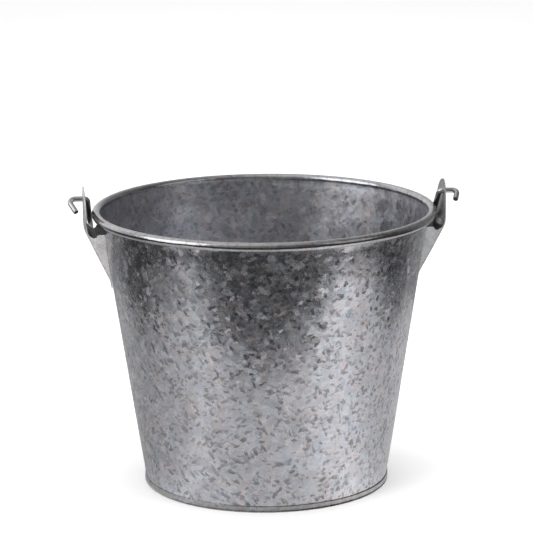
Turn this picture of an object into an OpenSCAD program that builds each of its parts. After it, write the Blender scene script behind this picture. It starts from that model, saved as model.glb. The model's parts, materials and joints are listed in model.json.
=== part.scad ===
// Ice bucket: a tapered pail of galvanised sheet with a wired rolled rim, a
// seamed-in bottom, two pressed ears and a swinging wire bail.
// The origin is the centre of the foot on the table, +Z is up, +X runs along
// the line through the two ear holes, and the bail hangs towards +Y.

/* [Pail] */
// Height from the table to the top of the rim
height = 203.6; // [180:0.2:240]
// Outer diameter over the rolled rim
rim_d = 250; // [240:0.5:260]
// Diameter of the roll at the rim
roll_d = 6.4; // [5.6:0.1:7]
// Outer diameter of the wall where it meets the table
wall_base_d = 176.6; // [165:0.2:190]
// Thickness of the sheet
sheet = 0.6; // [0.5:0.05:0.8]
// Diameter of the wire inside the rolled rim
rim_wire_d = 5.0; // [4:0.1:5.1]

/* [Bottom] */
// Height of the seam band around the foot
band_h = 4.4; // [3.5:0.1:6]
// How far the floor of the pail stands above the table
floor_lift = 6; // [5:0.5:9]
// Depth of the pressed step in the floor
floor_step = 1.2; // [0.6:0.1:2]

/* [Side seam] */
// Direction of the folded side seam, in degrees from +X
seam_angle = 62; // [40:1:75]
// Width of the folded side seam
seam_w = 7; // [5:0.5:9]
// How far the side seam stands out from the wall
seam_proud = 0.9; // [0.6:0.1:1.2]

/* [Ears] */
// Height of the bail holes above the table
hole_z = 212.2; // [209:0.1:215]
// Diameter of the bail holes
hole_d = 4.8; // [4.6:0.1:5.2]
// Radius from the pail's axis to the outer face of an ear
ear_r = 131.4; // [131.2:0.1:132]
// Thickness of the ear sheet
ear_t = 1.0; // [0.8:0.05:1.1]
// Radius of the round top of an ear
ear_top_r = 21; // [18:0.5:22]
// Height of the centre of an ear's round top
ear_top_z = 199.6; // [198:0.1:202]
// Height of the bottom tip of an ear
ear_tip_z = 145.7; // [140:0.5:150]

/* [Bail] */
// Diameter of the bail wire
wire_d = 3.9; // [3.5:0.1:4]
// Half the width between the two legs of the bail, to the wire's middle
bail_half_w = 127.75; // [127.7:0.05:127.9]
// Distance from the hinge line to the middle of the wire at the crown
bail_reach = 156; // [150:0.5:160]
// How far the legs of the bail lean inwards, in degrees
lean = 4; // [3:0.25:5]
// Radius of the bends beside the ears
bend_r = 3.2; // [2.8:0.1:3.4]

/* [Hidden] */
$fn = 96;

zinc = [0.70, 0.72, 0.74];
zinc_bright = [0.78, 0.79, 0.79];
wire_grey = [0.66, 0.67, 0.68];

gap = 0.03;                              // between pieces that are pressed together
roll_r = roll_d / 2;
roll_c = [rim_d / 2 - roll_r, height - roll_r];   // middle of the roll's section
wall_r0 = wall_base_d / 2;               // outer face of the wall at the table
// the outer face of the wall runs up to the inner side of the roll
wall_slope = (roll_c[0] - roll_r + sheet - wall_r0) / roll_c[1];
function wall_r(z) = wall_r0 + wall_slope * z;

band_t = 0.75;                           // outer fold of the foot band
foot_in = 1.0;                           // inner fold of the foot band
wall_z0 = 0.75;                          // lower edge of the wall inside the fold
floor_r = wall_r(floor_lift) - sheet - gap;

seam_len_top = height - roll_d + 0.6;
tail_z = 152;                            // above this height the ear leaves the wall
bend_z = 191;                            // height of the bend in an ear
wire_r = wire_d / 2;

// the crown is one arc, tangent to both leaning legs
crown_y = (bail_reach - bail_half_w * cos(lean) - bend_r * sin(lean)) / (1 - sin(lean));
crown_r = bail_reach - crown_y;
leg_len = (crown_y + crown_r * sin(lean) - bend_r) / cos(lean);
wire_lap = 0.05;

// the bail hangs until its crown meets the wall:
//   reach * cos(a) = wall_r(hole_z - reach * sin(a)) + clearance
rest_clear = 0.35;
rest_k = sqrt(1 + pow(wall_slope, 2));
hang = acos((wall_r(hole_z) + (wire_r + rest_clear) * rest_k) / (bail_reach * rest_k)) + atan(wall_slope);

// hooks: how far each turns out of the vertical, inwards and forwards
pin_end = 136.9;                         // where the hook's bend starts
hook_bend = 3.3;
left_in = 26; left_fwd = 50; left_len = 8.4;
right_in = 14; right_fwd = 62; right_len = 6.6;

// ---- pail ----------------------------------------------------------------

// section of the wall: straight tapered sheet, then the roll around the wire
module wall_section() {
    difference() {
        union() {
            polygon([
                [wall_r(wall_z0) - sheet, wall_z0], [wall_r(wall_z0), wall_z0],
                [wall_r(roll_c[1] - 0.3), roll_c[1] - 0.3], [wall_r(roll_c[1] - 0.3) - sheet, roll_c[1] - 0.3]
            ]);
            translate(roll_c) circle(r = roll_r);
        }
        translate(roll_c) circle(r = roll_r - sheet);
        // the free edge of the roll stops short of the wall
        translate(roll_c) polygon([
            [0, 0], [-1.35, -5], [-1.95, -5.0],
            [-2.05, -2.9], [-1.7, -1.5]
        ]);
    }
}

module wall() {
    color(zinc) {
        rotate_extrude($fn = 180) wall_section();
        side_seam();
    }
}

// flat folded seam: it stands on the wall from the foot band to the roll
module side_seam() {
    intersection() {
        rotate_extrude($fn = 180) polygon([
            [wall_r(band_h + 0.4) - 0.2, band_h + 0.4],
            [wall_r(band_h + 0.4) + seam_proud, band_h + 0.4],
            [wall_r(seam_len_top - 0.8) + seam_proud, seam_len_top - 0.8],
            [wall_r(seam_len_top) - 0.2, seam_len_top]
        ]);
        rotate([0, 0, seam_angle]) translate([0, -seam_w / 2, 0]) cube([150, seam_w, 240]);
    }
}

module rim_wire() {
    color(wire_grey) rotate_extrude($fn = 180) translate(roll_c) circle(d = rim_wire_d);
}

// bottom: pressed pan whose edge is folded up around the foot of the wall
module bottom() {
    ri = wall_r(wall_z0) - sheet - gap;      // inner fold, outside face
    ro = wall_r(band_h) + gap;               // outer fold, inside face at the top
    color(zinc) rotate_extrude($fn = 180) polygon([
        // outer fold, rounded at its lower corner
        [ro - wall_slope * (band_h - wall_z0 + 0.02), wall_z0 - gap],
        [ro, band_h],
        [ro + band_t * 0.6, band_h + 0.05], [ro + band_t, band_h - 0.3],
        [ro + band_t, 0.5], [ro + band_t - 0.15, 0.15], [ro + band_t - 0.5, 0],
        // foot ring on the table
        [ri - foot_in + 0.4, 0], [ri - foot_in + 0.1, 0.12], [ri - foot_in, 0.4],
        // inner fold, floor and pressed step
        [ri - foot_in, floor_lift - sheet - 0.6], [ri - foot_in - 0.6, floor_lift - sheet],
        [ri - 11, floor_lift - sheet], [ri - 14, floor_lift - sheet - floor_step], [0, floor_lift - sheet - floor_step],
        [0, floor_lift - floor_step], [ri - 13.8, floor_lift - floor_step], [ri - 10.8, floor_lift],
        [ri - 0.5, floor_lift], [ri + 0.03, floor_lift - 0.4],
        [ri, wall_z0 - gap]
    ]);
}

// fillet of sealant in the corner between the floor and the wall
module seam_sealant() {
    r0 = wall_r(floor_lift + gap) - sheet - gap;
    color([0.55, 0.56, 0.55]) rotate_extrude($fn = 180) polygon([
        [r0 - 3.4, floor_lift + gap], [r0 - 0.02, floor_lift + gap],
        [r0 + wall_slope * 2.6 - 0.02, floor_lift + gap + 2.6],
        [r0 - 0.7, floor_lift + 1.5], [r0 - 1.7, floor_lift + 0.7]
    ]);
}

// ---- ears ----------------------------------------------------------------

// points of an arc about c, from angle a0 to a1 in n steps
function arc_points(c, r, a0, a1, n) = [for (i = [0:n]) let (a = a0 + (a1 - a0) * i / n) [c[0] + r * cos(a), c[1] + r * sin(a)]];

// face-on outline of an ear: round top, straight sides, small round tip
module ear_outline(inset = 0) {
    tr = 2.6;
    tz = ear_tip_z + tr;
    g = asin((ear_top_r - tr) / (ear_top_z - tz));
    polygon(concat(
        arc_points([0, ear_top_z], ear_top_r - inset, -g, 180 + g, 44),
        arc_points([0, tz], tr - inset, 180 + g, 360 - g, 8)
    ));
}

// outer face of an ear in section: upright leaf, a soft bend, then a slope
// down to a tail that lies on the wall
function ear_face(t) = [
    [ear_r - t, 230], [ear_r - t, bend_z + 3.2], [ear_r - t - 0.35, bend_z + 0.4], [ear_r - t - 1.35, bend_z - 2.4],
    [wall_r(tail_z + 1.6) + ear_t + 0.75 - t, tail_z + 1.6], [wall_r(tail_z - 0.6) + ear_t + 0.1 - t, tail_z - 0.6],
    [wall_r(ear_tip_z - 2) + ear_t + gap - t, ear_tip_z - 2]
];

module ear_prism(inset = 0) {
    rotate([90, 0, 90]) linear_extrude(height = 160) ear_outline(inset);
}

// One ear, on the +X side. Its lower half is a pocket: the face slopes in and
// two side walls close it against the pail, and its upper half is a bare leaf,
// so the leg of the bail swings between the leaf and the rim.
module ear() {
    difference() {
        intersection() {
            rotate_extrude($fn = 180) polygon(concat(
                ear_face(0),
                [[wall_r(ear_tip_z - 2) + gap, ear_tip_z - 2], [wall_r(230) + gap, 230]]
            ));
            ear_prism();
        }
        // inside of the pocket
        intersection() {
            rotate_extrude($fn = 180) polygon(concat(
                [for (p = ear_face(ear_t)) if (p[1] > tail_z) p],
                [[wall_r(tail_z) - 2, tail_z + 0.4], [wall_r(tail_z) - 2, 230]]
            ));
            ear_prism(ear_t);
        }
        // upper edge of the side walls: it dips where the leg of the bail rests
        // and comes up again under the rim
        rotate_extrude($fn = 180) polygon([
            [100, 235], [ear_r - ear_t - 0.05, 235], [ear_r - ear_t - 0.05, bend_z + 3.2], [ear_r - ear_t - 0.45, bend_z + 0.4],
            [ear_r - ear_t - 1.4, bend_z - 0.9], [ear_r - ear_t - 3.2, bend_z - 2.4],
            [ear_r - ear_t - 5.2, bend_z - 4.4], [ear_r - ear_t - 6.9, bend_z - 3.7],
            [ear_r - ear_t - 7.6, bend_z - 2.1], [ear_r - ear_t - 9, bend_z - 1.7], [100, bend_z - 1.7]
        ]);
        // bail hole
        translate([100, 0, hole_z]) rotate([0, 90, 0]) cylinder(d = hole_d, h = 60);
    }
}

module right_ear() { color(zinc_bright) ear(); }
module left_ear() { color(zinc_bright) mirror([1, 0, 0]) ear(); }

// ---- bail ----------------------------------------------------------------

// arc of wire in the XY plane, centred on the origin, from angle a0 over da
module wire_arc(r, a0, da) {
    rotate([0, 0, a0]) rotate_extrude(angle = da, $fn = 240) translate([r, 0]) circle(d = wire_d, $fn = 48);
}

// straight length of wire up +Z; it is a hair thinner than the bends and runs
// a little way into each of them
module wire_straight(len) {
    translate([0, 0, -wire_lap]) cylinder(d = wire_d - 0.02, h = len + 2 * wire_lap, $fn = 48);
}

// the loop in its own plane: +Y points from the hinge to the crown
module loop() {
    translate([0, crown_y, 0]) wire_arc(crown_r, lean, 180 - 2 * lean);
    for (side = [0, 1]) mirror([side, 0, 0]) {
        translate([bail_half_w, bend_r, 0]) rotate([-90, 0, 0]) rotate([0, -lean, 0]) wire_straight(leg_len);
        translate([bail_half_w + bend_r, bend_r, 0]) wire_arc(bend_r, 180, 90);
    }
}

// Pin through the ear and the hook outside it, on the +X side: the wire turns
// down and inwards, then leans forwards about the pin.
module pin_and_hook(in_a, fwd_a, len) {
    pin_start = bail_half_w + bend_r;
    translate([pin_start, 0, 0]) rotate([0, 90, 0]) wire_straight(pin_end - pin_start);
    rotate([-fwd_a, 0, 0]) translate([pin_end, 0, -hook_bend]) {
        rotate([90, 0, 0]) wire_arc(hook_bend, -in_a, 90 + in_a);
        rotate([0, in_a, 0]) translate([hook_bend, 0, -len]) wire_straight(len);
    }
}

module bail() {
    color(wire_grey) translate([0, 0, hole_z]) {
        rotate([-hang, 0, 0]) {
            loop();
        }
        pin_and_hook(right_in, right_fwd, right_len);
        mirror([1, 0, 0]) pin_and_hook(left_in, left_fwd, left_len);
    }
}

wall();
rim_wire();
bottom();
seam_sealant();
left_ear();
right_ear();
bail();
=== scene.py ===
# Looks for the galvanised ice bucket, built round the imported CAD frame.
import json
import math
import random

import bpy
import numpy as np
from mathutils import Matrix, Vector


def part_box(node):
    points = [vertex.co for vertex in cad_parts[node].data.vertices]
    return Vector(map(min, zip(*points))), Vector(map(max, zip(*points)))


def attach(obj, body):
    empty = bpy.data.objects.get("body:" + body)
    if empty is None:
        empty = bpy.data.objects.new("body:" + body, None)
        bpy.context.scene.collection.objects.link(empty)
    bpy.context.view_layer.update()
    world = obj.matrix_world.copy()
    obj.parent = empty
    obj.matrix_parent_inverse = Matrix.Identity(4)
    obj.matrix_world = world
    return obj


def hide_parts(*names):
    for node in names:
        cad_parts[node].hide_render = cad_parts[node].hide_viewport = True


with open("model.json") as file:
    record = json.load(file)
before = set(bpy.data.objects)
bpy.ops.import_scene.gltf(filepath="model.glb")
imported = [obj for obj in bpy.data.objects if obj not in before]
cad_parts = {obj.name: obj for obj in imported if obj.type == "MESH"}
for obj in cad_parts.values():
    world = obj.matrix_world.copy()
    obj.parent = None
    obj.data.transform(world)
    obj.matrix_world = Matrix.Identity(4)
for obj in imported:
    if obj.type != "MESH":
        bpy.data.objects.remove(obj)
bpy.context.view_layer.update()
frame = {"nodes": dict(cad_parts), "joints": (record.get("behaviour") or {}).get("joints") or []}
MM = 0.001
TAU = 2 * math.pi
scene = bpy.context.scene

# ---------------------------------------------------------------- CAD numbers
# read from the frame where it has them, so a changed part carries through
foot_lo, foot_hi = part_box("bottom")
ear_lo, ear_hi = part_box("right_ear")
wall_lo, wall_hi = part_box("wall")
bail_joint = [j for j in frame["joints"] if j["name"] == "bail_swing"][0]
HOLE_Z = bail_joint["pos_m"][2] * 1000

RIM_R = 125.0
RIM_Z = wall_hi.z * 1000            # 203.6
ROLL = 3.2
SHEET = 0.6
ROLL_C = (RIM_R - ROLL, RIM_Z - ROLL)
WALL_R0 = 88.3
SLOPE = (ROLL_C[0] - ROLL + SHEET - WALL_R0) / ROLL_C[1]
BAND_H = 4.4
FLOOR = 6.0


def wall_r(z):
    return WALL_R0 + SLOPE * z


# ---------------------------------------------------------------- mesh helpers
def new_object(name, verts, faces, mats, smooth=True):
    me = bpy.data.meshes.new(name)
    me.from_pydata([tuple(v) for v in verts], [], [tuple(f) for f in faces])
    me.validate()
    me.update()
    if smooth:
        me.polygons.foreach_set("use_smooth", [True] * len(me.polygons))
    for m in mats if isinstance(mats, (list, tuple)) else [mats]:
        me.materials.append(m)
    ob = bpy.data.objects.new(name, me)
    scene.collection.objects.link(ob)
    return ob


def lathe(name, profile, segments, mat, warp=None):
    """Closed profile [(r, z)] in mm, turned round Z. warp(theta, r, z) gives new r, z."""
    p = np.array(profile, float)
    n = len(p)
    th = np.arange(segments) * TAU / segments
    r = np.repeat(p[:, 0][None, :], segments, 0)
    z = np.repeat(p[:, 1][None, :], segments, 0)
    t = np.repeat(th[:, None], n, 1)
    if warp:
        r, z = warp(t, r, z)
    v = np.stack([r * np.cos(t), r * np.sin(t), z], -1).reshape(-1, 3) * MM
    i = np.arange(segments)[:, None]
    j = np.arange(n)[None, :]
    i2, j2 = (i + 1) % segments, (j + 1) % n
    f = np.stack([i * n + j, i2 * n + j, i2 * n + j2, i * n + j2], -1).reshape(-1, 4)
    area = 0.5 * np.sum(p[:, 0] * np.roll(p[:, 1], -1) - np.roll(p[:, 0], -1) * p[:, 1])
    if area < 0:
        f = f[:, ::-1]
    return new_object(name, v, f, mat)


def line(a, b, n, end=False):
    return [(a[0] + (b[0] - a[0]) * k / n, a[1] + (b[1] - a[1]) * k / n) for k in range(n + (1 if end else 0))]


def arc(c, r, a0, a1, n, end=False):
    out = []
    for k in range(n + (1 if end else 0)):
        a = math.radians(a0 + (a1 - a0) * k / n)
        out.append((c[0] + r * math.cos(a), c[1] + r * math.sin(a)))
    return out


def rounded(points, radius, n=5, closed=True):
    """Polyline with its corners rounded; radius is one number or one per point."""
    pts = [np.array(q, float) for q in points]
    m = len(pts)
    rad = radius if isinstance(radius, (list, tuple)) else [radius] * m
    out = []
    for k in range(m):
        p = pts[k]
        if not closed and k in (0, m - 1):
            out.append(tuple(p))
            continue
        a, b = pts[k - 1], pts[(k + 1) % m]
        da, db = a - p, b - p
        la, lb = np.linalg.norm(da), np.linalg.norm(db)
        da, db = da / la, db / lb
        cosang = float(np.clip(da @ db, -1, 1))
        half = math.acos(cosang) / 2
        if rad[k] <= 0 or half > math.pi / 2 - 0.02:
            out.append(tuple(p))
            continue
        d = min(rad[k] / math.tan(half), la * 0.45, lb * 0.45)
        s, e = p + da * d, p + db * d
        for i in range(n + 1):
            t = i / n
            q = (1 - t) ** 2 * s + 2 * t * (1 - t) * p + t ** 2 * e
            out.append((float(q[0]), float(q[1])))
    return out


rng = random.Random(41)
WAVES = [
    (rng.randint(2, 9), TAU / rng.uniform(70, 220) * rng.choice((-1, 1)), rng.uniform(0, TAU), rng.uniform(0.4, 1.0))
    for _ in range(16)
]
WSUM = sum(w[3] for w in WAVES)
FINE = [
    (rng.randint(12, 30), TAU / rng.uniform(25, 60) * rng.choice((-1, 1)), rng.uniform(0, TAU), rng.uniform(0.4, 1.0))
    for _ in range(14)
]
FSUM = sum(w[3] for w in FINE)


def ripple(t, z):
    """Smooth unevenness of thin sheet, about -1 to 1."""
    a = sum(w * np.sin(m * t + k * z + ph) for m, k, ph, w in WAVES) / WSUM * 2.2
    b = sum(w * np.sin(m * t + k * z + ph) for m, k, ph, w in FINE) / FSUM * 2.2
    return a + 0.16 * b


def smooth(x, a, b):
    t = np.clip((x - a) / (b - a), 0, 1)
    return t * t * (3 - 2 * t)


# ---------------------------------------------------------------- materials
def nt(mat):
    mat.use_nodes = True
    t = mat.node_tree
    t.nodes.clear()
    return t


class G:
    """Short way to wire shader nodes."""

    def __init__(self, name):
        self.mat = bpy.data.materials.new(name)
        self.t = nt(self.mat)
        self.out = self.t.nodes.new("ShaderNodeOutputMaterial")
        self.b = self.t.nodes.new("ShaderNodeBsdfPrincipled")
        self.link(self.b.outputs[0], self.out.inputs[0])

    def link(self, a, b):
        self.t.links.new(a, b)

    def put(self, socket, v):
        if isinstance(v, bpy.types.NodeSocket):
            self.link(v, socket)
        elif v is not None:
            socket.default_value = v

    def node(self, kind, **kw):
        n = self.t.nodes.new(kind)
        for k, v in kw.items():
            setattr(n, k, v)
        return n

    def coord(self):
        return self.node("ShaderNodeTexCoord").outputs["Object"]

    def mapping(self, vec, scale=(1, 1, 1), rot=(0, 0, 0), loc=(0, 0, 0)):
        n = self.node("ShaderNodeMapping")
        self.put(n.inputs["Vector"], vec)
        n.inputs["Scale"].default_value = scale
        n.inputs["Rotation"].default_value = rot
        n.inputs["Location"].default_value = loc
        return n.outputs[0]

    def noise(self, vec, scale, detail=3.0, rough=0.5, dist=0.0):
        n = self.node("ShaderNodeTexNoise")
        self.put(n.inputs["Vector"], vec)
        n.inputs["Scale"].default_value = scale
        n.inputs["Detail"].default_value = detail
        n.inputs["Roughness"].default_value = rough
        n.inputs["Distortion"].default_value = dist
        return n

    def voronoi(self, vec, scale, feature="F1", metric="EUCLIDEAN", rand=1.0, expo=0.5):
        n = self.node("ShaderNodeTexVoronoi", feature=feature, distance=metric)
        self.put(n.inputs["Vector"], vec)
        n.inputs["Scale"].default_value = scale
        n.inputs["Randomness"].default_value = rand
        if metric == "MINKOWSKI":
            n.inputs["Exponent"].default_value = expo
        return n

    def math(self, op, a, b=None, c=None, clamp=False):
        n = self.node("ShaderNodeMath", operation=op, use_clamp=clamp)
        self.put(n.inputs[0], a)
        if b is not None:
            self.put(n.inputs[1], b)
        if c is not None:
            self.put(n.inputs[2], c)
        return n.outputs[0]

    def vmath(self, op, a, b=None, scale=None):
        n = self.node("ShaderNodeVectorMath", operation=op)
        self.put(n.inputs[0], a)
        if b is not None:
            self.put(n.inputs[1], b)
        if scale is not None:
            self.put(n.inputs["Scale"], scale)
        return n.outputs["Vector"] if op not in ("DOT_PRODUCT", "LENGTH", "DISTANCE") else n.outputs["Value"]

    def ramp(self, fac, stops, interp="LINEAR"):
        n = self.node("ShaderNodeValToRGB")
        n.color_ramp.interpolation = interp
        e = n.color_ramp.elements
        while len(e) < len(stops):
            e.new(0.5)
        for el, (p, c) in zip(e, stops):
            el.position = p
            el.color = (c, c, c, 1) if isinstance(c, (int, float)) else (*c, 1)
        self.put(n.inputs[0], fac)
        return n.outputs["Color"]

    def remap(self, v, a, b, c, d):
        n = self.node("ShaderNodeMapRange")
        self.put(n.inputs["Value"], v)
        for k, x in zip(("From Min", "From Max", "To Min", "To Max"), (a, b, c, d)):
            n.inputs[k].default_value = x
        return n.outputs["Result"]

    def mix(self, fac, a, b, blend="MIX"):
        n = self.node("ShaderNodeMix", data_type="RGBA", blend_type=blend)
        self.put(n.inputs[0], fac)
        self.put(n.inputs[6], a if isinstance(a, bpy.types.NodeSocket) else (*a, 1))
        self.put(n.inputs[7], b if isinstance(b, bpy.types.NodeSocket) else (*b, 1))
        return n.outputs[2]

    def sep(self, v):
        n = self.node("ShaderNodeSeparateXYZ")
        self.put(n.inputs[0], v)
        return n.outputs

    def bump(self, height, strength, dist, normal=None):
        n = self.node("ShaderNodeBump")
        n.inputs["Strength"].default_value = strength
        n.inputs["Distance"].default_value = dist
        self.put(n.inputs["Height"], height)
        if normal is not None:
            self.put(n.inputs["Normal"], normal)
        return n.outputs[0]


def zinc(name, base=(0.58, 0.582, 0.592), dark=0.54, tilt=0.028, rough=(0.17, 0.26), shards=1.0, size=1.0, lift=1.0, dull=0.0, metal=1.0, matt_by=1.0):
    """Hot-dip galvanised sheet. Broad crystals tilt and differ a little in tone and gloss; on top lie
    sparse, straight-sided darker shards, each shaded from one edge."""
    g = G(name)
    co = g.coord()
    wob = g.vmath("SUBTRACT", g.noise(co, 300 / size, 2.0, 0.65).outputs["Color"], (0.5, 0.5, 0.5))
    p = g.vmath("ADD", co, g.vmath("SCALE", wob, scale=0.0046 * size))
    wob2 = g.vmath("SUBTRACT", g.noise(co, 700 / size, 1.0, 0.6).outputs["Color"], (0.5, 0.5, 0.5))
    q = g.vmath("ADD", co, g.vmath("SCALE", wob2, scale=0.0013 * size))
    big = g.voronoi(g.mapping(p, (1.0, 1.0, 0.8), (0.5, 0.3, 0.2)), 150 / size)
    med = g.voronoi(g.mapping(p, (1.0, 0.85, 1.2), (0.9, 0.2, 1.1)), 300 / size, metric="MANHATTAN")
    rb, rm = g.sep(big.outputs["Color"]), g.sep(med.outputs["Color"])
    tone = g.math("ADD", g.remap(rb[0], 0, 1, -0.16, 0.16), g.remap(rm[0], 0, 1, -0.15, 0.15))
    fine = g.noise(co, 520 / size, 4.0, 0.62).outputs["Fac"]
    tone = g.math("ADD", tone, g.remap(fine, 0.25, 0.75, -0.22, 0.22))
    tone = g.math("ADD", tone, 0.74)
    # shards: families of slender straight-sided cells, each lying another way; the first four are
    # darker, the last two only stand at a steeper tilt
    dark_sum, tilt_sum = None, None
    # some crystals are matt: they stay grey where the rest mirror a dark zone
    matt = g.remap(rm[1], 0.62, 1.0, 0.0, 0.065 * matt_by)
    for k, (sc, rot, stretch, cut) in enumerate((
        (310, (0.15, 0.45, 0.1), (1.50, 1.50, 0.58), 0.930),
        (280, (0.60, 1.05, 0.6), (1.45, 1.45, 0.60), 0.935),
        (330, (-0.70, -0.80, 1.3), (1.50, 1.50, 0.58), 0.930),
        (480, (1.20, -1.40, 2.1), (1.30, 1.30, 0.60), 0.905),
        (190, (-0.5, 0.9, 0.4), (1.35, 1.35, 0.80), 0.86),
        (260, (0.7, -1.0, 1.7), (1.35, 1.35, 0.80), 0.86),
    )):
        place = g.mapping(g.mapping(q, (1, 1, 1), rot), stretch, (0, 0, 0), (0.013 * k, 0.007 * k, 0.011 * k))
        v = g.voronoi(place, sc / size)
        c = g.sep(v.outputs["Color"])
        mask = g.math("GREATER_THAN", c[0], cut)
        tv = g.vmath("SCALE", g.vmath("SUBTRACT", v.outputs["Color"], (0.95, 0.5, 0.5)), scale=mask)
        if k < 4:
            # shade runs across each shard, and some are fainter than others
            rel = g.vmath("SUBTRACT", place, v.outputs["Position"])
            run = g.vmath("DOT_PRODUCT", rel, (0.5, -0.4, 0.75))
            shade = g.remap(run, -0.0014 * size, 0.0014 * size, 1.0, 0.45)
            m = g.math("MULTIPLY", g.math("MULTIPLY", mask, shade), g.remap(c[1], 0, 1, 0.45, 1.0))
            dark_sum = m if dark_sum is None else g.math("MAXIMUM", dark_sum, m)
        else:
            tv = g.vmath("SCALE", tv, scale=1.0 if k == 4 else 1.3)
            matt = g.math("MAXIMUM", matt, g.math("MULTIPLY", mask, g.remap(c[1], 0, 1, 0.01 * matt_by, 0.13 * matt_by)))
        tilt_sum = tv if tilt_sum is None else g.vmath("ADD", tilt_sum, tv)
    lo = tuple(c * dark for c in base)
    hi = tuple(min(c * 1.16, 1) for c in base)
    col = g.mix(g.math("MULTIPLY", tone, lift, clamp=True), lo, hi)
    col = g.mix(g.math("MULTIPLY", dark_sum, 0.84 * shards), col, tuple(c * 0.20 for c in base))
    tint = g.mix(rb[1], (0.955, 0.985, 1.045), (1.04, 0.99, 0.985))
    tint2 = g.mix(rm[2], (0.97, 1.0, 1.02), (1.03, 0.99, 1.01))
    col = g.mix(1.0, col, tint, "MULTIPLY")
    col = g.mix(1.0, col, tint2, "MULTIPLY")
    # dull oxide bloom in soft clouds
    bloom = g.ramp(g.noise(co, 22, 4.0, 0.6).outputs["Fac"], [(0.42, 0.0), (0.72, 1.0)])
    col = g.mix(g.math("MULTIPLY", bloom, 0.18 + dull), col, tuple(c * 0.92 for c in base))
    g.put(g.b.inputs["Base Color"], col)
    g.put(g.b.inputs["Metallic"], g.math("SUBTRACT", metal, matt))
    rr = g.remap(rb[2], 0, 1, rough[0], rough[1])
    rr = g.math("ADD", rr, g.remap(fine, 0.3, 0.7, -0.03, 0.05))
    rr = g.math("ADD", rr, g.math("MULTIPLY", bloom, 0.06))
    g.put(g.b.inputs["Roughness"], rr)
    geo = g.node("ShaderNodeNewGeometry").outputs["Normal"]
    tb3 = g.vmath("SUBTRACT", big.outputs["Color"], (0.5, 0.5, 0.5))
    tm3 = g.vmath("SUBTRACT", med.outputs["Color"], (0.5, 0.5, 0.5))
    nrm = g.vmath("ADD", geo, g.vmath("SCALE", tb3, scale=tilt))
    nrm = g.vmath("ADD", nrm, g.vmath("SCALE", tm3, scale=tilt * 0.8))
    nrm = g.vmath("ADD", nrm, g.vmath("SCALE", tilt_sum, scale=0.10 * shards))
    nrm = g.vmath("NORMALIZE", nrm)
    h = g.math("ADD", g.math("MULTIPLY", g.noise(co, 1400, 2.0, 0.6).outputs["Fac"], 0.3), g.math("MULTIPLY", dark_sum, -0.35))
    h = g.math("ADD", h, g.math("MULTIPLY", fine, 0.7))
    g.put(g.b.inputs["Normal"], g.bump(h, 0.30, 0.00005, nrm))
    return g.mat


def wire_metal(name, base, rough=(0.28, 0.45)):
    """Zinc-coated drawn wire: fine mottled tone, small runs of zinc and dull patches."""
    g = G(name)
    co = g.coord()
    n1 = g.noise(g.mapping(co, (1, 1, 1)), 240, 4.0, 0.6)
    n2 = g.noise(co, 60, 2.0, 0.5)
    n3 = g.noise(co, 1800, 2.0, 0.7)
    tone = g.ramp(n1.outputs["Fac"], [(0.25, 0.35), (0.45, 0.8), (0.6, 0.95), (1.0, 1.0)])
    col = g.mix(tone, tuple(c * 0.55 for c in base), base)
    col = g.mix(g.remap(n2.outputs["Fac"], 0.35, 0.7, 0.0, 0.35), col, (0.60, 0.61, 0.62))
    g.put(g.b.inputs["Base Color"], col)
    g.b.inputs["Metallic"].default_value = 1.0
    g.put(g.b.inputs["Roughness"], g.remap(n1.outputs["Fac"], 0.3, 0.7, rough[0], rough[1]))
    h = g.math("ADD", g.math("MULTIPLY", n1.outputs["Fac"], 1.0), g.math("MULTIPLY", n3.outputs["Fac"], 0.25))
    g.put(g.b.inputs["Normal"], g.bump(h, 0.4, 0.00008))
    return g.mat


def cut_steel(name):
    """Sheared end of the wire: dark bare steel with a torn face."""
    g = G(name)
    co = g.coord()
    n = g.noise(co, 900, 4.0, 0.7)
    col = g.ramp(n.outputs["Fac"], [(0.3, (0.012, 0.010, 0.010)), (0.6, (0.05, 0.042, 0.038)), (0.85, (0.16, 0.13, 0.11))])
    g.put(g.b.inputs["Base Color"], col)
    g.b.inputs["Metallic"].default_value = 0.6
    g.put(g.b.inputs["Roughness"], g.remap(n.outputs["Fac"], 0.3, 0.7, 0.45, 0.75))
    g.put(g.b.inputs["Normal"], g.bump(n.outputs["Fac"], 0.6, 0.0002))
    return g.mat


def sealant_mat(name):
    g = G(name)
    co = g.coord()
    n = g.noise(co, 160, 4.0, 0.6)
    m = g.noise(co, 900, 3.0, 0.6)
    col = g.mix(n.outputs["Fac"], (0.30, 0.31, 0.30), (0.44, 0.45, 0.43))
    g.put(g.b.inputs["Base Color"], col)
    g.put(g.b.inputs["Roughness"], g.remap(n.outputs["Fac"], 0.3, 0.7, 0.45, 0.65))
    g.put(g.b.inputs["Normal"], g.bump(m.outputs["Fac"], 0.5, 0.0002))
    return g.mat


M_WALL = zinc("zinc_wall")
# the inside sheet is a darker, duller copy of the wall zinc: partly a duller inner face, partly painted shade for the
# pail's interior
M_INSIDE = zinc("zinc_inside", base=(0.50, 0.505, 0.515), rough=(0.26, 0.40), dull=0.2, shards=0.6)
M_BEAD = zinc("zinc_bead", base=(0.50, 0.50, 0.49), tilt=0.04, rough=(0.10, 0.17), dark=0.72, shards=0.45, matt_by=0.0)
M_BAND = zinc("zinc_band", base=(0.43, 0.426, 0.41), tilt=0.05, rough=(0.24, 0.38), shards=0.5, size=0.6)
M_FLOOR = zinc("zinc_floor", base=(0.44, 0.45, 0.46), rough=(0.28, 0.42), dull=0.2)
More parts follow.
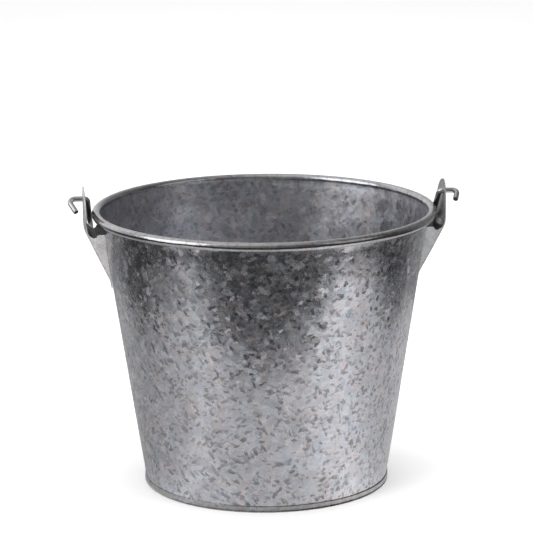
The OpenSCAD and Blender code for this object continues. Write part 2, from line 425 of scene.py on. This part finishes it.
# the two ears share one zinc: the left ear's copy has a lighter base as painted light from the left, the right ear's
# copy a darker base as painted shade on the right
M_EAR_L_PAINTED_LIT = zinc("zinc_ear_left_painted_lit", base=(0.66, 0.655, 0.635), tilt=0.03, rough=(0.24, 0.34), dark=0.80, shards=0.25, size=1.3, metal=0.85, matt_by=0.5)
M_EAR_R_PAINTED_SHADE = zinc("zinc_ear_right_painted_shade", base=(0.40, 0.405, 0.39), tilt=0.03, rough=(0.24, 0.34), dark=0.72, shards=0.35, size=1.3, metal=0.85, matt_by=0.5)
# the ear sheet's edge and cut faces: dark, dull metal, partly the bare sheared edge and partly painted shade for the
# dark line along each ear's outline
M_EDGE_PAINTED_SHADE = wire_metal("cut_edge_with_painted_shade", (0.20, 0.195, 0.185), rough=(0.42, 0.6))
M_WIRE = wire_metal("zinc_wire", (0.56, 0.565, 0.57), rough=(0.26, 0.40))
M_CUT = cut_steel("cut_end")
M_SEAL = sealant_mat("seam_sealant")

# ---------------------------------------------------------------- pail wall
outer = line((wall_r(0.9), 0.9), (wall_r(196.6), 196.6), 78)
outer += line((wall_r(196.6), 196.6), (wall_r(200.2), 200.2), 4)
inner_curl = arc(ROLL_C, ROLL - SHEET, 176, -136, 40, end=True)
curl_end = [(ROLL_C[0] + (ROLL - 0.30) * math.cos(math.radians(-141)), ROLL_C[1] + (ROLL - 0.30) * math.sin(math.radians(-141)))]
outer_curl = arc(ROLL_C, ROLL, -137, 180, 56, end=True)
inner = line((ROLL_C[0] - ROLL - 0.02, ROLL_C[1] - 1.2), (wall_r(0.9) - SHEET, 0.9), 60, end=True)
wall_profile = outer + inner_curl + curl_end + outer_curl + inner
N_OUT = len(outer)
N_CURL = len(inner_curl) + len(curl_end) + len(outer_curl)


def wall_warp(t, r, z):
    fade = smooth(z, 6, 30) * (1 - smooth(z, 176, 196))
    d = 0.17 * ripple(t, z) * fade
    # the sheet is drawn in a little just under the bead
    d = d - 0.22 * np.exp(-((z - 193.5) / 2.6) ** 2)
    top = smooth(z, 194, 197.5)
    d = d - 0.04 * top * (1 + 0.8 * np.sin(5 * t + 1.0) * np.sin(2 * t))
    zz = z - top * 0.05 * (1 + np.sin(3 * t + 0.4) * np.sin(7 * t))
    return r + d, zz


wall = lathe("wall_sheet", wall_profile, 576, [M_WALL, M_INSIDE, M_BEAD], wall_warp)
npf = len(wall_profile)
idx = np.tile(np.arange(npf), 576)
mi = np.where(idx < N_OUT - 3, 0, np.where(idx < N_OUT + N_CURL, 2, 1)).astype(np.int32)
wall.data.polygons.foreach_set("material_index", mi)
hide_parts("wall")
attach(wall, "pail")


# folded side seam, with the line of the lock along one edge
def seam_strip():
    ang = math.radians(62)
    us = [-3.7, -3.45, -3.2, -2.95, -2.5, -1.2, 0.2, 1.5, 2.1, 2.35, 2.5, 2.65, 2.85, 3.1, 3.35, 3.55, 3.75]
    hs = [-0.15, 0.12, 0.50, 0.76, 0.86, 0.80, 0.78, 0.84, 0.86, 0.78, 0.50, 0.62, 0.84, 0.80, 0.50, 0.10, -0.15]
    zs = np.linspace(5.0, 196.2, 150)
    v, f = [], []
    r2 = random.Random(5)
    ph = [r2.uniform(0, TAU) for _ in range(4)]
    for z in zs:
        end = min(1.0, (z - 5.0) / 0.7 + 0.15, (196.2 - z) / 0.9 + 0.12)
        side = 0.10 * math.sin(z / 13 + ph[0]) + 0.06 * math.sin(z / 5.3 + ph[1])
        for u, h in zip(us, hs):
            hh = h * (end if h > 0 else 1) + (0.03 * math.sin(z / 7 + u + ph[2]) if h > 0.3 else 0)
            rr = wall_r(z) + hh
            a = ang + (u + side) / wall_r(z)
            rr += 0.17 * float(ripple(np.array(a), np.array(z))) * float(smooth(z, 6, 30) * (1 - smooth(z, 176, 196)))
            v.append((rr * math.cos(a) * MM, rr * math.sin(a) * MM, z * MM))
    m = len(us)
    for i in range(len(zs) - 1):
        for j in range(m - 1):
            f.append((i * m + j, i * m + j + 1, (i + 1) * m + j + 1, (i + 1) * m + j))
    # closed underneath, inside the wall
    k = len(v)
    for z in zs:
        for u in (us[0], us[-1]):
            a = ang + u / wall_r(z)
            rr = wall_r(z) - 0.32 + 0.17 * float(ripple(np.array(a), np.array(z))) * float(smooth(z, 6, 30) * (1 - smooth(z, 176, 196)))
            rr -= 0.22 * math.exp(-((z - 193.5) / 2.6) ** 2)
            v.append((rr * math.cos(a) * MM, rr * math.sin(a) * MM, z * MM))
    for i in range(len(zs) - 1):
        a0, b0, a1, b1 = k + 2 * i, k + 2 * i + 1, k + 2 * i + 2, k + 2 * i + 3
        f.append((b0, a0, a1, b1))
        f.append((a0, i * m, (i + 1) * m, a1))
        f.append((i * m + m - 1, b0, b1, (i + 1) * m + m - 1))
    f.append([k, k + 1] + [m - 1 - j for j in range(m)])
    last = (len(zs) - 1)
    f.append([k + 2 * last + 1, k + 2 * last] + [last * m + j for j in range(m)])
    return new_object("wall_side_seam", v, f, M_WALL)


seam = seam_strip()
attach(seam, "pail")

# ---------------------------------------------------------------- bottom
ri = wall_r(0.75) - SHEET - 0.03
ro = wall_r(BAND_H) + 0.03
bt = 0.75
bottom_pts = [
    (ro - SLOPE * 3.67, 0.74),
    (ro, BAND_H - 0.35),
    (ro + 0.25, BAND_H + 0.05),
    (ro + bt - 0.05, BAND_H - 0.1),
    (ro + bt, BAND_H - 1.0),
    (ro + bt - 0.10, 2.4),
    (ro + bt, 1.3),
    (ro + bt - 0.03, 0.25),
    (ro + bt - 0.5, 0.0),
    (ri - 0.6, 0.0),
    (ri - 1.0, 0.4),
    (ri - 1.0, FLOOR - 1.2),
    (ri - 1.6, FLOOR - 0.6),
    (ri - 11.0, FLOOR - 0.6),
    (ri - 14.0, FLOOR - 1.8),
    (0.0001, FLOOR - 1.8),
    (0.0001, FLOOR - 1.2),
    (ri - 13.8, FLOOR - 1.2),
    (ri - 10.8, FLOOR),
    (ri - 0.6, FLOOR),
    (ri + 0.0, FLOOR - 0.5),
    (ri, 0.74),
]
rads = [0, 0.2, 0.2, 0.2, 0.5, 1.5, 0.5, 0.25, 0.25, 0.25, 0.4, 0.5, 0.5, 2.0, 2.0, 0, 0, 2.0, 2.0, 0.5, 0.4, 0]
bp = rounded(bottom_pts, rads, 5)
# long flat runs get more rings, so the pan can show its slight drumming
dense = []
for k, a in enumerate(bp):
    b = bp[(k + 1) % len(bp)]
    steps = max(1, int(math.hypot(b[0] - a[0], b[1] - a[1]) / 3.0))
    dense += line(a, b, steps)


def bottom_warp(t, r, z):
    lip = smooth(r, 88.6, 89.2) * smooth(z, 2.6, 4.2)
    z = z + lip * (0.10 * np.sin(9 * t + 0.5) * np.sin(4 * t) + 0.05 * np.sin(31 * t)) - lip * 0.05
    side = smooth(r, 88.9, 89.4)
    r = r - side * 0.05 * (1 + np.sin(13 * t) * np.sin(5 * t + 1))
    pan = (1 - smooth(r, 60, 74)) * (z > 3)
    z = z + pan * (0.35 * np.cos(r / 72 * math.pi / 2) * np.sin(2 * t + 0.5) * (r / 72) + 0.12 * np.sin(5 * t) * (r / 72) ** 2)
    return r, z


bottom = lathe("bottom_pan", dense, 360, [M_BAND, M_FLOOR], bottom_warp)
nb = len(dense)
ridx = np.tile(np.array([p[0] for p in dense]), 360)
zidx = np.tile(np.array([p[1] for p in dense]), 360)
bottom.data.polygons.foreach_set("material_index", np.where(ridx < ri - 0.9, 1, 0).astype(np.int32))
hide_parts("bottom")
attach(bottom, "pail")


# ---------------------------------------------------------------- ears
BEND = 191.0
EAR_R = ear_hi.x * 1000              # 131.4
EAR_T = 1.0
TOP_R, TOP_Z, TIP_R, TIP_Z = 21.0, 199.6, 2.6, 148.3
G_ANG = math.asin((TOP_R - TIP_R) / (TOP_Z - TIP_Z))
TAIL_Z = 152.0


def half_width(z):
    """Half-width of an ear face-on, in mm."""
    zt = TOP_Z - TOP_R * math.sin(G_ANG)
    zb = TIP_Z - TIP_R * math.sin(G_ANG)
    if z >= zt:
        return math.sqrt(max(TOP_R ** 2 - (z - TOP_Z) ** 2, 0))
    if z <= zb:
        return math.sqrt(max(TIP_R ** 2 - (z - TIP_Z) ** 2, 0))
    a, b = TOP_R * math.cos(G_ANG), TIP_R * math.cos(G_ANG)
    return b + (a - b) * (z - zb) / (zt - zb)


FACE_Z = [143.7, TAIL_Z - 0.6, TAIL_Z + 1.6, BEND - 2.4, BEND + 0.4, BEND + 3.2, 230]
FACE_R = [
    wall_r(143.7) + EAR_T + 0.03,
    wall_r(TAIL_Z - 0.6) + EAR_T + 0.1,
    wall_r(TAIL_Z + 1.6) + EAR_T + 0.75,
    EAR_R - 1.35,
    EAR_R - 0.35,
    EAR_R,
    EAR_R,
]


def face_r(z):
    """Outer face's radius, with its bends softened."""
    s = 0.0
    for d, w in ((-2.2, 1), (-1.1, 2), (0, 3), (1.1, 2), (2.2, 1)):
        s += w * float(np.interp(z + d, FACE_Z, FACE_R))
    return min(s / 9, float(np.interp(z, FACE_Z, FACE_R)) + 0.02, EAR_R)


EDGE_Z = [189.9, 190.2, 191.4, 193.5]
EDGE_R = [117.0, EAR_R - 2.6, EAR_R - 1.45, EAR_R - 0.9]
# upper edge of the side walls: it dips where the leg of the bail rests
DIP = [
    (100, 226), (EAR_R - 1.05, 226), (EAR_R - 1.05, BEND + 3.2), (EAR_R - 1.45, BEND + 0.1), (EAR_R - 2.4, BEND - 1.9),
    (EAR_R - 4.0, BEND - 3.2), (EAR_R - 6.2, BEND - 4.4), (EAR_R - 7.9, BEND - 3.7), (EAR_R - 8.6, BEND - 2.1),
    (EAR_R - 10, BEND - 1.7), (100, BEND - 1.7),
]


def ear(name, sign):
    """A pressed ear as a closed sheet: rows run up it, columns go round from one side wall to the other."""
    rows = []
    zs = [145.75 + 0.35 * k for k in range(8)]
    while zs[-1] < 220.4:
        step = 0.6 if (181 < zs[-1] < 196 or zs[-1] > 214) else 1.1
        if zs[-1] > 218.8:
            step = 0.25
        zs.append(zs[-1] + step)
    zs = [z for z in zs if z < 220.55] + [220.56]
    NF, NC, NS = 28, 5, 8
    outer_rows, inner_rows = [], []

    def section(z, inset, face_in):
        """Points of one row, inset from the outline and set in from the face."""
        w = max(half_width(z) - inset, 0.03)
        fr = face_r(z) - face_in
        rc = min(1.7, w * 0.6) if z < BEND + 1 else min(0.35, w * 0.5)
        if BEND + 1 <= z < BEND + 6:
            rc = min(0.35 + 1.35 * (1 - (z - BEND - 1) / 5), w * 0.5)
        rc = max(rc - inset, 0.12 if inset else 0.2)
        wall_at = wall_r(z) + 0.04
        if z >= 189.9:
            edge = float(np.interp(z, EDGE_Z, EDGE_R))
        else:
            edge = wall_at
        edge = min(edge, fr - 0.05)
        pts = []
        # right half from the middle outwards: face, corner, side wall
        half = []
        for k in range(NF // 2 + 1):
            y = (w - rc) * k / (NF // 2)
            half.append((math.sqrt(max(fr * fr - y * y, 1)), y))
        x0, y0 = half[-1]
        dx_c = min(rc, max(fr - edge, 0.06))
        for k in range(1, NC + 1):
            a = math.pi / 2 * k / NC
            half.append((x0 - dx_c * (1 - math.cos(a)) - 0.0, y0 + rc * math.sin(a)))
        x1, y1 = half[-1]
        xe = math.sqrt(max(edge * edge - y1 * y1, 1)) if edge > y1 else edge
        xe = min(xe, x1 - 0.02)
        for k in range(1, NS + 1):
            half.append((x1 + (xe - x1) * k / NS, y1))
        pts = [(x, -y) for x, y in reversed(half[1:])] + half
        return pts

    for z in zs:
        outer_rows.append([(x, y, z) for x, y in section(z, 0.0, 0.0)])
        zi = z
        inner_rows.append([(x, y, zi) for x, y in section(z, 0.95, 0.95)])
    m = len(outer_rows[0])
    n = len(zs)
    v = [p for row in outer_rows for p in row] + [p for row in inner_rows for p in row]
    v = [(sign * x * MM, y * MM, z * MM) for x, y, z in v]
    f = []
    off = n * m

    cut_faces = []

    def quad(a, b, c, d, cut=False):
        f.append((a, b, c, d) if sign > 0 else (d, c, b, a))
        cut_faces.append(1 if cut else 0)

    for i in range(n - 1):
        for j in range(m - 1):
            a, b, c, d = i * m + j, i * m + j + 1, (i + 1) * m + j + 1, (i + 1) * m + j
            quad(a, b, c, d)
            quad(off + d, off + c, off + b, off + a)
        quad(i * m, (i + 1) * m, off + (i + 1) * m, off + i * m, True)
        a, d = i * m + m - 1, (i + 1) * m + m - 1
        quad(d, a, off + a, off + d, True)
    for j in range(m - 1):
        quad(j + 1, j, off + j, off + j + 1, True)
        a, b = (n - 1) * m + j, (n - 1) * m + j + 1
        quad(a, b, off + b, off + a, True)
    # the left ear takes the lighter zinc copy (painted light), the right ear the darker copy (painted shade)
    ob = new_object(name, v, f, [M_EAR_R_PAINTED_SHADE if sign > 0 else M_EAR_L_PAINTED_LIT, M_EDGE_PAINTED_SHADE])
    # the sheet's edge faces take the dark edge material: painted shade along the ear's outline as well as its bare
    # edge
    ob.data.polygons.foreach_set("material_index", cut_faces)
    # bail hole
    bpy.ops.mesh.primitive_cylinder_add(vertices=64, radius=2.4 * MM, depth=0.03, location=(sign * 0.130, 0, HOLE_Z * MM), rotation=(0, math.pi / 2, 0))
    cut = bpy.context.object
    mod = ob.modifiers.new("hole", "BOOLEAN")
    mod.operation = "DIFFERENCE"
    mod.solver = "EXACT"
    mod.object = cut
    ring = lathe("dip", rounded(DIP, [0, 0, 0.6, 0.6, 1, 1, 0.9, 0.6, 0.5, 0.5, 0], 4), 360, [M_EAR_R_PAINTED_SHADE, M_EDGE_PAINTED_SHADE])
    # the dip's cut faces take the dark edge material too: painted shade along the dipped edge
    ring.data.polygons.foreach_set("material_index", [1] * len(ring.data.polygons))
    mod2 = ob.modifiers.new("dip", "BOOLEAN")
    mod2.operation = "DIFFERENCE"
    mod2.solver = "EXACT"
    mod2.object = ring
    bev = ob.modifiers.new("soft_edge", "BEVEL")
    bev.width = 0.16 * MM
    bev.segments = 2
    bev.limit_method = "ANGLE"
    bev.angle_limit = math.radians(48)
    dg = bpy.context.evaluated_depsgraph_get()
    me = bpy.data.meshes.new_from_object(ob.evaluated_get(dg))
    ob.modifiers.clear()
    old = ob.data
    ob.data = me
    bpy.data.meshes.remove(old)
    bpy.data.objects.remove(cut)
    bpy.data.objects.remove(ring)
    me.polygons.foreach_set("use_smooth", [True] * len(me.polygons))
    me.set_sharp_from_angle(angle=math.radians(55))
    return ob


for side, sign in (("right", 1), ("left", -1)):
    e = ear(side + "_ear_sheet", sign)
    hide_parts(side + "_ear")
    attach(e, "pail")

# ---------------------------------------------------------------- bail
WIRE = 1.95
HALF_W = 127.75
REACH = 156.0
BEND_R = 3.2
LEAN = math.radians(4)
CROWN_Y = (REACH - HALF_W * math.cos(LEAN) - BEND_R * math.sin(LEAN)) / (1 - math.sin(LEAN))
CROWN_R = REACH - CROWN_Y
K = math.sqrt(1 + SLOPE ** 2)
HANG = math.acos((wall_r(HOLE_Z) + (WIRE + 0.35) * K) / (REACH * K)) + math.atan(SLOPE)
PIN_END, HOOK_BEND = 136.9, 3.3
HOOKS = {-1: (26, 50, 8.4), 1: (14, 62, 6.6)}


def bail_path():
    pts = []

    def to_row(x, s):
        return (x, s * math.cos(HANG), HOLE_Z - s * math.sin(HANG))

    def hook(sign):
        in_a, fwd, ln = (math.radians(HOOKS[sign][0]), math.radians(HOOKS[sign][1]), HOOKS[sign][2])
        loc = []
        ex = PIN_END + HOOK_BEND * math.cos(in_a)
        ez = -HOOK_BEND - HOOK_BEND * math.sin(in_a)
        tipx = ex - ln * math.sin(in_a)
        tipz = ez - ln * math.cos(in_a)
        for k in range(9):
            t = k / 8
            loc.append((tipx + (ex - tipx) * t, tipz + (ez - tipz) * t))
        for k in range(1, 17):
            a = -in_a + (math.pi / 2 + in_a) * k / 16
            loc.append((PIN_END + HOOK_BEND * math.cos(a), -HOOK_BEND + HOOK_BEND * math.sin(a)))
        out = []
        for x, z in loc:
            out.append((sign * x, z * math.sin(fwd), HOLE_Z + z * math.cos(fwd)))
        x0 = HALF_W + BEND_R
        for k in range(1, 6):
            out.append((sign * (PIN_END + (x0 - PIN_END) * k / 6), 0, HOLE_Z))
        for k in range(0, 13):
            a = math.pi / 2 * k / 12
            x = x0 - BEND_R * math.sin(a)
            s = BEND_R - BEND_R * math.cos(a)
            out.append(to_row(sign * x, s))
        tx, ty = CROWN_R * math.cos(LEAN), CROWN_Y + CROWN_R * math.sin(LEAN)
        for k in range(1, 14):
            t = k / 14
            out.append(to_row(sign * (HALF_W + (tx - HALF_W) * t), BEND_R + (ty - BEND_R) * t))
        return out

    left = hook(-1)
    right = hook(1)
    crown = []
    for k in range(0, 101):
        a = math.pi - LEAN - (math.pi - 2 * LEAN) * k / 100
        crown.append(to_row(CROWN_R * math.cos(a), CROWN_Y + CROWN_R * math.sin(a)))
    return left + crown + right[::-1]


def sweep(name, path, radius, sides, mats):
    p = np.array(path, float)
    n = len(p)
    tang = np.gradient(p, axis=0)
    tang /= np.linalg.norm(tang, axis=1)[:, None]
    tang[0] = (p[1] - p[0]) / np.linalg.norm(p[1] - p[0])
    tang[-1] = (p[-1] - p[-2]) / np.linalg.norm(p[-1] - p[-2])
    ref = np.array([0.0, 1.0, 0.0])
    u = ref - tang[0] * (ref @ tang[0])
    u /= np.linalg.norm(u)
    v, f, mi = [], [], []
    rings = []
    # rounded, slightly torn ends
    def ring(c, uu, ww, rad, tilt=0.0):
        k0 = len(v)
        for k in range(sides):
            a = TAU * k / sides
            v.append(c + rad * (uu * math.cos(a) + ww * math.sin(a)))
        rings.append(k0)

    for i in range(n):
        if i:
            u = u - tang[i] * (u @ tang[i])
            u /= np.linalg.norm(u)
        w = np.cross(tang[i], u)
        if i == 0:
            ring(p[0] + tang[0] * 0.02, u, w, radius * 0.86)
            ring(p[0] + tang[0] * 0.10, u, w, radius * 0.96)
            ring(p[0] + tang[0] * 0.30, u, w, radius * 1.0)
            continue
        if i == n - 1:
            ring(p[-1] - tang[-1] * 0.30, u, w, radius * 1.0)
            ring(p[-1] - tang[-1] * 0.10, u, w, radius * 0.96)
            ring(p[-1] - tang[-1] * 0.02, u, w, radius * 0.86)
            continue
        ring(p[i], u, w, radius)
    for a, b in zip(rings, rings[1:]):
        for k in range(sides):
            k2 = (k + 1) % sides
            f.append((a + k, a + k2, b + k2, b + k))
            mi.append(0)
    for end, a0, c, s in ((0, rings[0], p[0] + tang[0] * 0.16, -1), (1, rings[-1], p[-1] - tang[-1] * 0.16, 1)):
        ci = len(v)
        v.append(c)
        for k in range(sides):
            k2 = (k + 1) % sides
            f.append((ci, a0 + k2, a0 + k) if s < 0 else (ci, a0 + k, a0 + k2))
            mi.append(1)
    ob = new_object(name, np.array(v) * MM, f, mats)
    ob.data.polygons.foreach_set("material_index", mi)
    ob.data.set_sharp_from_angle(angle=math.radians(50))
    return ob


bail = sweep("bail_wire", bail_path(), WIRE, 32, [M_WIRE, M_CUT])
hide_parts("bail")
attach(bail, "bail")

# carried-over CAD nodes
for node, mat in (("rim_wire", M_WIRE), ("seam_sealant", M_SEAL)):
    o = frame["nodes"][node]
    o.data.materials.clear()
    o.data.materials.append(mat)
    o.data.polygons.foreach_set("use_smooth", [True] * len(o.data.polygons))

# ---------------------------------------------------------------- stage
def floor_material():
    g = G("floor_pale")
    n = g.noise(g.coord(), 2.5, 2.0, 0.5)
    col = g.mix(n.outputs["Fac"], (0.86, 0.86, 0.86), (0.90, 0.90, 0.90))
    g.put(g.b.inputs["Base Color"], col)
    g.b.inputs["Roughness"].default_value = 0.7
    return g.mat


fl = new_object("stage_floor", [(-14, -14, 0), (14, -14, 0), (14, 14, 0), (-14, 14, 0)], [(0, 1, 2, 3)], floor_material(), smooth=False)


def hide_from_view(ob):
    """Only reflections see this object."""
    ob.visible_camera = False
    ob.visible_diffuse = False
    ob.visible_shadow = False
    ob.visible_transmission = False
    ob.visible_volume_scatter = False


def light_table():
    """The lit table top as the metal sees it: bright round the pail, and dark past its scalloped edge."""
    m = bpy.data.materials.new("light_table")
    g = G.__new__(G)
    g.mat = m
    g.t = nt(m)
    out = g.t.nodes.new("ShaderNodeOutputMaterial")
    em = g.t.nodes.new("ShaderNodeEmission")
    g.link(em.outputs[0], out.inputs[0])
    x, y, _ = g.sep(g.node("ShaderNodeNewGeometry").outputs["Position"])
    ca, sa = math.cos(math.radians(4.66)), math.sin(math.radians(4.66))
    X = g.math("SUBTRACT", g.math("MULTIPLY", x, ca), g.math("MULTIPLY", y, sa))
    Y = g.math("ADD", g.math("MULTIPLY", x, sa), g.math("MULTIPLY", y, ca))
    r = g.math("SQRT", g.math("ADD", g.math("MULTIPLY", X, X), g.math("MULTIPLY", Y, Y)))
    th = g.math("ARCTAN2", X, g.math("MULTIPLY", Y, -1.0))
    t_abs = g.math("DIVIDE", g.math("ABSOLUTE", th), math.pi)
    left = g.ramp(t_abs, [(0.0, 0.282), (0.07, 0.284), (0.11, 0.295), (0.155, 0.320), (0.20, 0.350), (0.24, 0.395), (0.28, 0.455), (0.305, 0.475), (0.34, 0.435), (0.39, 0.400), (0.46, 0.384), (0.54, 0.374), (0.60, 0.392), (0.66, 0.43), (0.74, 0.53), (1.0, 0.46)], "B_SPLINE")
    right = g.ramp(t_abs, [(0.0, 0.282), (0.07, 0.284), (0.11, 0.295), (0.155, 0.320), (0.20, 0.350), (0.24, 0.395), (0.28, 0.455), (0.315, 0.485), (0.36, 0.465), (0.41, 0.445), (0.46, 0.420), (0.52, 0.388), (0.58, 0.372), (0.64, 0.392), (0.76, 0.50), (1.0, 0.46)], "B_SPLINE")
    is_right = g.math("GREATER_THAN", th, 0.0)
    edge = g.math("ADD", g.math("MULTIPLY", right, is_right), g.math("MULTIPLY", left, g.math("SUBTRACT", 1.0, is_right)))
    e0 = g.math("SUBTRACT", edge, 0.009)
    e1 = g.math("ADD", edge, 0.015)
    n = g.node("ShaderNodeMapRange", interpolation_type="SMOOTHSTEP")
    g.put(n.inputs["Value"], r)
    g.put(n.inputs["From Min"], e0)
    g.put(n.inputs["From Max"], e1)
    n.inputs["To Min"].default_value = 1.0
    n.inputs["To Max"].default_value = 0.0
    lit = n.outputs["Result"]
    t_all = g.math("ADD", g.math("DIVIDE", th, TAU), 0.5)
    vals = [(-180, 0.50), (-150, 0.46), (-130, 0.46), (-120, 0.44), (-110, 0.42), (-100, 0.40), (-90, 0.42), (-80, 0.47), (-70, 0.52), (-58, 0.60), (-45, 0.78), (-32, 0.68), (-10, 0.60), (0, 0.60), (12, 0.64), (28, 0.78), (42, 0.98), (52, 1.04), (65, 0.86), (80, 0.68), (100, 0.60), (115, 0.60), (130, 0.62), (150, 0.56), (180, 0.50)]
    amp = g.ramp(t_all, [((d + 180) / 360, v) for d, v in vals], "EASE")
    beyond = g.ramp(t_abs, [(0.0, 0.042), (0.56, 0.044), (0.72, 0.26), (1.0, 0.42)])
    val = g.math("ADD", g.math("MULTIPLY", lit, amp), g.math("MULTIPLY", g.math("SUBTRACT", 1.0, lit), beyond))
    g.put(em.inputs["Strength"], val)
    k = 4.0
    ob = new_object("stage_light_table", [(-k, -k, 0.0015), (k, -k, 0.0015), (k, k, 0.0015), (-k, k, 0.0015)], [(0, 1, 2, 3)], m, smooth=False)
    hide_from_view(ob)
    return ob


light_table()
fl.visible_glossy = False


def area(name, loc, aim, size, power, color=(1, 1, 1), size_y=None):
    l = bpy.data.lights.new(name, "AREA")
    l.energy = power
    l.color = color
    l.size = size
    if size_y:
        l.shape = "RECTANGLE"
        l.size_y = size_y
    o = bpy.data.objects.new(name, l)
    scene.collection.objects.link(o)
    o.location = loc
    o.rotation_euler = (Vector(aim) - Vector(loc)).to_track_quat("-Z", "Y").to_euler()
    # the metal sees the softboxes drawn in the world instead
    o.visible_glossy = False
    return o


area("key_left", (-1.3, -1.1, 1.3), (0, 0, 0.12), 0.9, 16)
area("fill_right", (1.5, -0.9, 1.1), (0, 0, 0.12), 0.9, 10)
area("top", (0, 0.2, 2.2), (0, 0, 0), 1.8, 30)

world = bpy.data.worlds.new("studio")
scene.world = world
world.use_nodes = True
wt = world.node_tree
wt.nodes.clear()
w_out = wt.nodes.new("ShaderNodeOutputWorld")
w_bg = wt.nodes.new("ShaderNodeBackground")
w_path = wt.nodes.new("ShaderNodeLightPath")
w_co = wt.nodes.new("ShaderNodeTexCoord")
w_sep = wt.nodes.new("ShaderNodeSeparateXYZ")
w_ramp = wt.nodes.new("ShaderNodeValToRGB")
w_mix = wt.nodes.new("ShaderNodeMix")
w_mix.data_type = "RGBA"
wt.links.new(w_co.outputs["Generated"], w_sep.inputs[0])
w_neg = wt.nodes.new("ShaderNodeMath")
w_neg.operation = "MULTIPLY"
w_neg.inputs[1].default_value = 1.0
wt.links.new(w_sep.outputs[2], w_neg.inputs[0])
wt.links.new(w_neg.outputs[0], w_ramp.inputs[0])
el_ = w_ramp.color_ramp.elements
for p_, v_ in ((0.0, 0.20), (0.25, 0.17), (0.60, 0.22), (0.82, 0.46), (1.0, 0.60)):
    if p_ in (0.0, 1.0):
        e_ = el_[0] if p_ == 0.0 else el_[len(el_) - 1]
    else:
        e_ = el_.new(p_)
    e_.color = (v_, v_, v_, 1)
wt.links.new(w_path.outputs["Is Glossy Ray"], w_mix.inputs[0])
w_mix.inputs[6].default_value = (1.0, 1.0, 1.0, 1)
# the studio is dark in front of the pail and pale behind it
w_back = wt.nodes.new("ShaderNodeMapRange")
w_back.inputs["From Min"].default_value = 0.05
w_back.inputs["From Max"].default_value = 0.55
w_back.inputs["To Min"].default_value = 0.0
w_back.inputs["To Max"].default_value = 1.0
wt.links.new(w_sep.outputs[1], w_back.inputs["Value"])
w_fb = wt.nodes.new("ShaderNodeMix")
w_fb.data_type = "RGBA"
wt.links.new(w_back.outputs["Result"], w_fb.inputs[0])
wt.links.new(w_ramp.outputs[0], w_fb.inputs[6])
w_fb.inputs[7].default_value = (0.62, 0.62, 0.62, 1)
# and brighter on the left than on the right
w_side = wt.nodes.new("ShaderNodeMapRange")
w_side.inputs["From Min"].default_value = -0.35
w_side.inputs["From Max"].default_value = 0.55
w_side.inputs["To Min"].default_value = 0.0
w_side.inputs["To Max"].default_value = 1.0
wt.links.new(w_sep.outputs[0], w_side.inputs["Value"])
w_lr = wt.nodes.new("ShaderNodeMix")
w_lr.data_type = "RGBA"
w_lr.inputs[6].default_value = (1.5, 1.5, 1.5, 1)
w_lr.inputs[7].default_value = (0.35, 0.35, 0.35, 1)
wt.links.new(w_side.outputs["Result"], w_lr.inputs[0])
w_mul = wt.nodes.new("ShaderNodeMix")
w_mul.data_type = "RGBA"
w_mul.blend_type = "MULTIPLY"
w_mul.inputs[0].default_value = 1.0
wt.links.new(w_fb.outputs[2], w_mul.inputs[6])
wt.links.new(w_lr.outputs[2], w_mul.inputs[7])
w_last = w_mul.outputs[2]
# softboxes, as the metal sees them
for w_dir, w_from, w_to, w_power in (((-0.86, -0.28, 0.48), 0.86, 0.95, 1.8), ((0.75, -0.45, 0.49), 0.90, 0.97, 0.45)):
    w_dot = wt.nodes.new("ShaderNodeVectorMath")
    w_dot.operation = "DOT_PRODUCT"
    w_dot.inputs[1].default_value = Vector(w_dir).normalized()
    wt.links.new(w_co.outputs["Generated"], w_dot.inputs[0])
    w_box = wt.nodes.new("ShaderNodeMapRange")
    w_box.interpolation_type = "SMOOTHSTEP"
    w_box.inputs["From Min"].default_value = w_from
    w_box.inputs["From Max"].default_value = w_to
    w_box.inputs["To Min"].default_value = 0.0
    w_box.inputs["To Max"].default_value = w_power
    wt.links.new(w_dot.outputs["Value"], w_box.inputs["Value"])
    w_add = wt.nodes.new("ShaderNodeMix")
    w_add.data_type = "RGBA"
    w_add.blend_type = "ADD"
    w_add.inputs[0].default_value = 1.0
    wt.links.new(w_last, w_add.inputs[6])
    wt.links.new(w_box.outputs["Result"], w_add.inputs[7])
    w_last = w_add.outputs[2]
wt.links.new(w_last, w_mix.inputs[7])
wt.links.new(w_mix.outputs[2], w_bg.inputs[0])
w_bg.inputs[1].default_value = 1.0
wt.links.new(w_bg.outputs[0], w_out.inputs[0])

# ---------------------------------------------------------------- camera
cam_data = bpy.data.cameras.new("cam")
cam = bpy.data.objects.new("cam", cam_data)
scene.collection.objects.link(cam)
az = math.radians(4.66)
el = math.radians(13.09)
roll = math.radians(-0.44)
F = Vector((math.sin(az) * math.cos(el), math.cos(az) * math.cos(el), -math.sin(el)))
R0 = Vector((math.cos(az), -math.sin(az), 0))
U0 = R0.cross(F)
R = R0 * math.cos(roll) + U0 * math.sin(roll)
U = -R0 * math.sin(roll) + U0 * math.cos(roll)
m = Matrix((
    (R.x, U.x, -F.x, -0.1570),
    (R.y, U.y, -F.y, -1.9417),
    (R.z, U.z, -F.z, 0.6116),
    (0, 0, 0, 1),
))
cam.matrix_world = m
cam_data.lens = 185.4
cam_data.sensor_width = 36
cam_data.clip_start = 0.05
cam_data.clip_end = 60
scene.camera = cam

scene.view_settings.view_transform = "Standard"
scene.view_settings.look = "None"
scene.view_settings.exposure = 0.0
